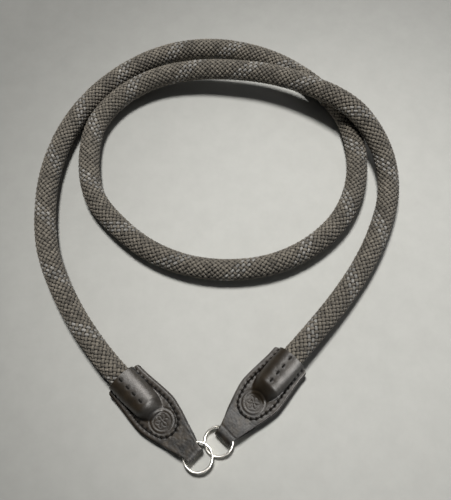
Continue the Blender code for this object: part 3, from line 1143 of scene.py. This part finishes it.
class STRAP_OT_rope(Operator):
    """Braids the rope along its route: a core and 24 yarns, three of them pale"""
    bl_idname = "strap.rope"
    bl_label = "Braided rope"

    def execute(self, context):
        rope = context.scene.strap_rope
        route = dense_route(ROUTE_SPACING)
        grey = yarn_material("grey yarn", tuple(rope.grey), tuple(rope.core))
        pale = yarn_material("pale yarn", tuple(rope.pale), tuple(rope.core))
        centre, side, up = route[1], route[3], route[4]
        picked = np.linspace(0, len(centre) - 1, CORE_ROWS).astype(int)
        radius = np.full(len(picked), CORE_RADIUS)
        radius[:CORE_END_ROWS] = radius[-CORE_END_ROWS:] = CORE_END_RADIUS
        rings = tube_rings(
            centre[picked], side[picked], up[picked], radius, radius, CORE_SIDES)
        core = link_mesh("rope_core", rings.reshape(-1, 3), loft(rings))
        core.data.materials.append(core_material(tuple(rope.core)))
        fleck_start = -2 * math.pi * FLECK_PLACE / rope.pitch
        fleck_start -= 2 * math.pi * MIDDLE_PALE_YARN / rope.yarns
        made = []
        for name, numbers, direction, finish, seed in (
            ("rope_yarns_across_a", range(0, 6), -1, grey, 71),
            ("rope_yarns_across_b", range(6, 12), -1, grey, 71),
            ("rope_yarns_over_a", range(3, 8), 1, grey, 11),
            ("rope_yarns_over_b", range(8, 12), 1, grey, 11),
            ("rope_pale_yarns", range(0, 3), 1, pale, 11),
        ):
            piece = make_yarns(name, rope, route, numbers, direction, fleck_start, seed)
            piece.data.materials.append(finish)
            made.append(piece)
        for piece in [core, *made]:
            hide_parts("rope")
            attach(piece, "root")
        return {"FINISHED"}


class STRAP_OT_tabs(Operator):
    """Forms the two folded leather tabs with their stamp and stitch holes"""
    bl_idname = "strap.tabs"
    bl_label = "Leather tabs"

    def execute(self, context):
        finish = leather_material(context.scene.strap_leather)
        for tab, cad_node, seed in ((LEFT_TAB, "left_tab", 1.0), (RIGHT_TAB, "right_tab", 9.0)):
            piece = make_tab(tab, seed)
            piece.data.materials.clear()
            piece.data.materials.append(finish)
            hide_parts(cad_node)
            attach(piece, "root")
        return {"FINISHED"}


class STRAP_OT_thread(Operator):
    """Sews the seams of both tabs"""
    bl_idname = "strap.thread"
    bl_label = "Thread"

    def execute(self, context):
        finish = thread_material(tuple(context.scene.strap_leather.thread))
        for tab in (LEFT_TAB, RIGHT_TAB):
            piece = make_thread(tab)
            piece.data.materials.append(finish)
            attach(piece, "root")
        return {"FINISHED"}


class STRAP_OT_rings(Operator):
    """Winds the two split rings"""
    bl_idname = "strap.rings"
    bl_label = "Split rings"

    def execute(self, context):
        settings = context.scene.strap_ring
        finish = steel_material(tuple(settings.colour))
        for ring, name, cad_node in (
            (LEFT_RING, "left_split_ring", "left_ring"),
            (RIGHT_RING, "right_split_ring", "right_ring"),
        ):
            piece = make_ring(ring, name, settings.wire)
            piece.data.materials.append(finish)
            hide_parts(cad_node)
            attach(piece, "root")
        return {"FINISHED"}


def add_light(name, size, power, place, target, colour):
    data = bpy.data.lights.new(name, "AREA")
    data.shape = "DISK"
    data.size = size
    data.energy = power
    data.color = colour
    light = bpy.data.objects.new(name, data)
    bpy.context.collection.objects.link(light)
    light.location = place
    light.rotation_euler = (Vector(target) - Vector(place)).to_track_quat("-Z", "Y").to_euler()
    return light


class STRAP_OT_stage(Operator):
    """Lays the pale table and sets the studio light"""
    bl_idname = "strap.stage"
    bl_label = "Stage"

    def execute(self, context):
        settings = context.scene.strap_stage
        bpy.ops.object.select_all(action="DESELECT")
        bpy.ops.mesh.primitive_plane_add(size=TABLE_SIZE, location=TABLE_PLACE)
        floor = context.object
        floor.name = "table"
        bpy.ops.object.transform_apply(location=True, rotation=True, scale=True)
        floor.data.materials.append(floor_material(tuple(settings.floor)))
        key_place = Vector(LIT_PLACE) + Vector(KEY_DIRECTION).normalized() * KEY_DISTANCE
        add_light("key", KEY_SIZE, settings.key_power, key_place, LIT_PLACE, WARM_WHITE)
        add_light("soft panel", PANEL_SIZE, PANEL_POWER, PANEL_PLACE, LIT_PLACE, COOL_WHITE)
        for name, place in WINDOWS:
            window = add_light(
                name, WINDOW_SIZE, WINDOW_POWER, place, (0.0, 0.0, 0.0), WARM_WHITE)
            window.visible_diffuse = False
        world = bpy.data.worlds.new("studio")
        context.scene.world = world
        world.use_nodes = True
        sky = world.node_tree.nodes["Background"]
        sky.inputs["Color"].default_value = SKY_COLOUR
        sky.inputs["Strength"].default_value = settings.fill
        context.scene.view_settings.view_transform = "Standard"
        return {"FINISHED"}


class STRAP_PT_panel(Panel):
    """Lists the strap's pieces and their settings"""
    bl_idname = "STRAP_PT_panel"
    bl_label = "Coiled strap"
    bl_space_type = "VIEW_3D"
    bl_region_type = "UI"
    bl_category = "Strap"

    def draw(self, context):
        for step in STEPS:
            self.layout.operator(step.bl_idname, text=step.bl_label)
        for group in GROUPS:
            settings = getattr(context.scene, group)
            box = self.layout.box()
            for field in settings.__annotations__:
                box.prop(settings, field)


GROUPS = {
    "strap_rope": StrapRope,
    "strap_leather": StrapLeather,
    "strap_ring": StrapRing,
    "strap_stage": StrapStage,
}
STEPS = (
    STRAP_OT_camera, STRAP_OT_rope, STRAP_OT_tabs, STRAP_OT_thread, STRAP_OT_rings,
    STRAP_OT_stage,
)


def register():
    for made in (*GROUPS.values(), *STEPS, STRAP_PT_panel):
        bpy.utils.register_class(made)
    for name, group in GROUPS.items():
        setattr(bpy.types.Scene, name, PointerProperty(type=group))


def unregister():
    for name in GROUPS:
        delattr(bpy.types.Scene, name)
    for made in reversed((*GROUPS.values(), *STEPS, STRAP_PT_panel)):
        bpy.utils.unregister_class(made)


def main():
    register()
    bpy.ops.strap.camera()
    bpy.ops.strap.rope()
    bpy.ops.strap.tabs()
    bpy.ops.strap.thread()
    bpy.ops.strap.rings()
    bpy.ops.strap.stage()


if __name__ == "__main__":
    main()
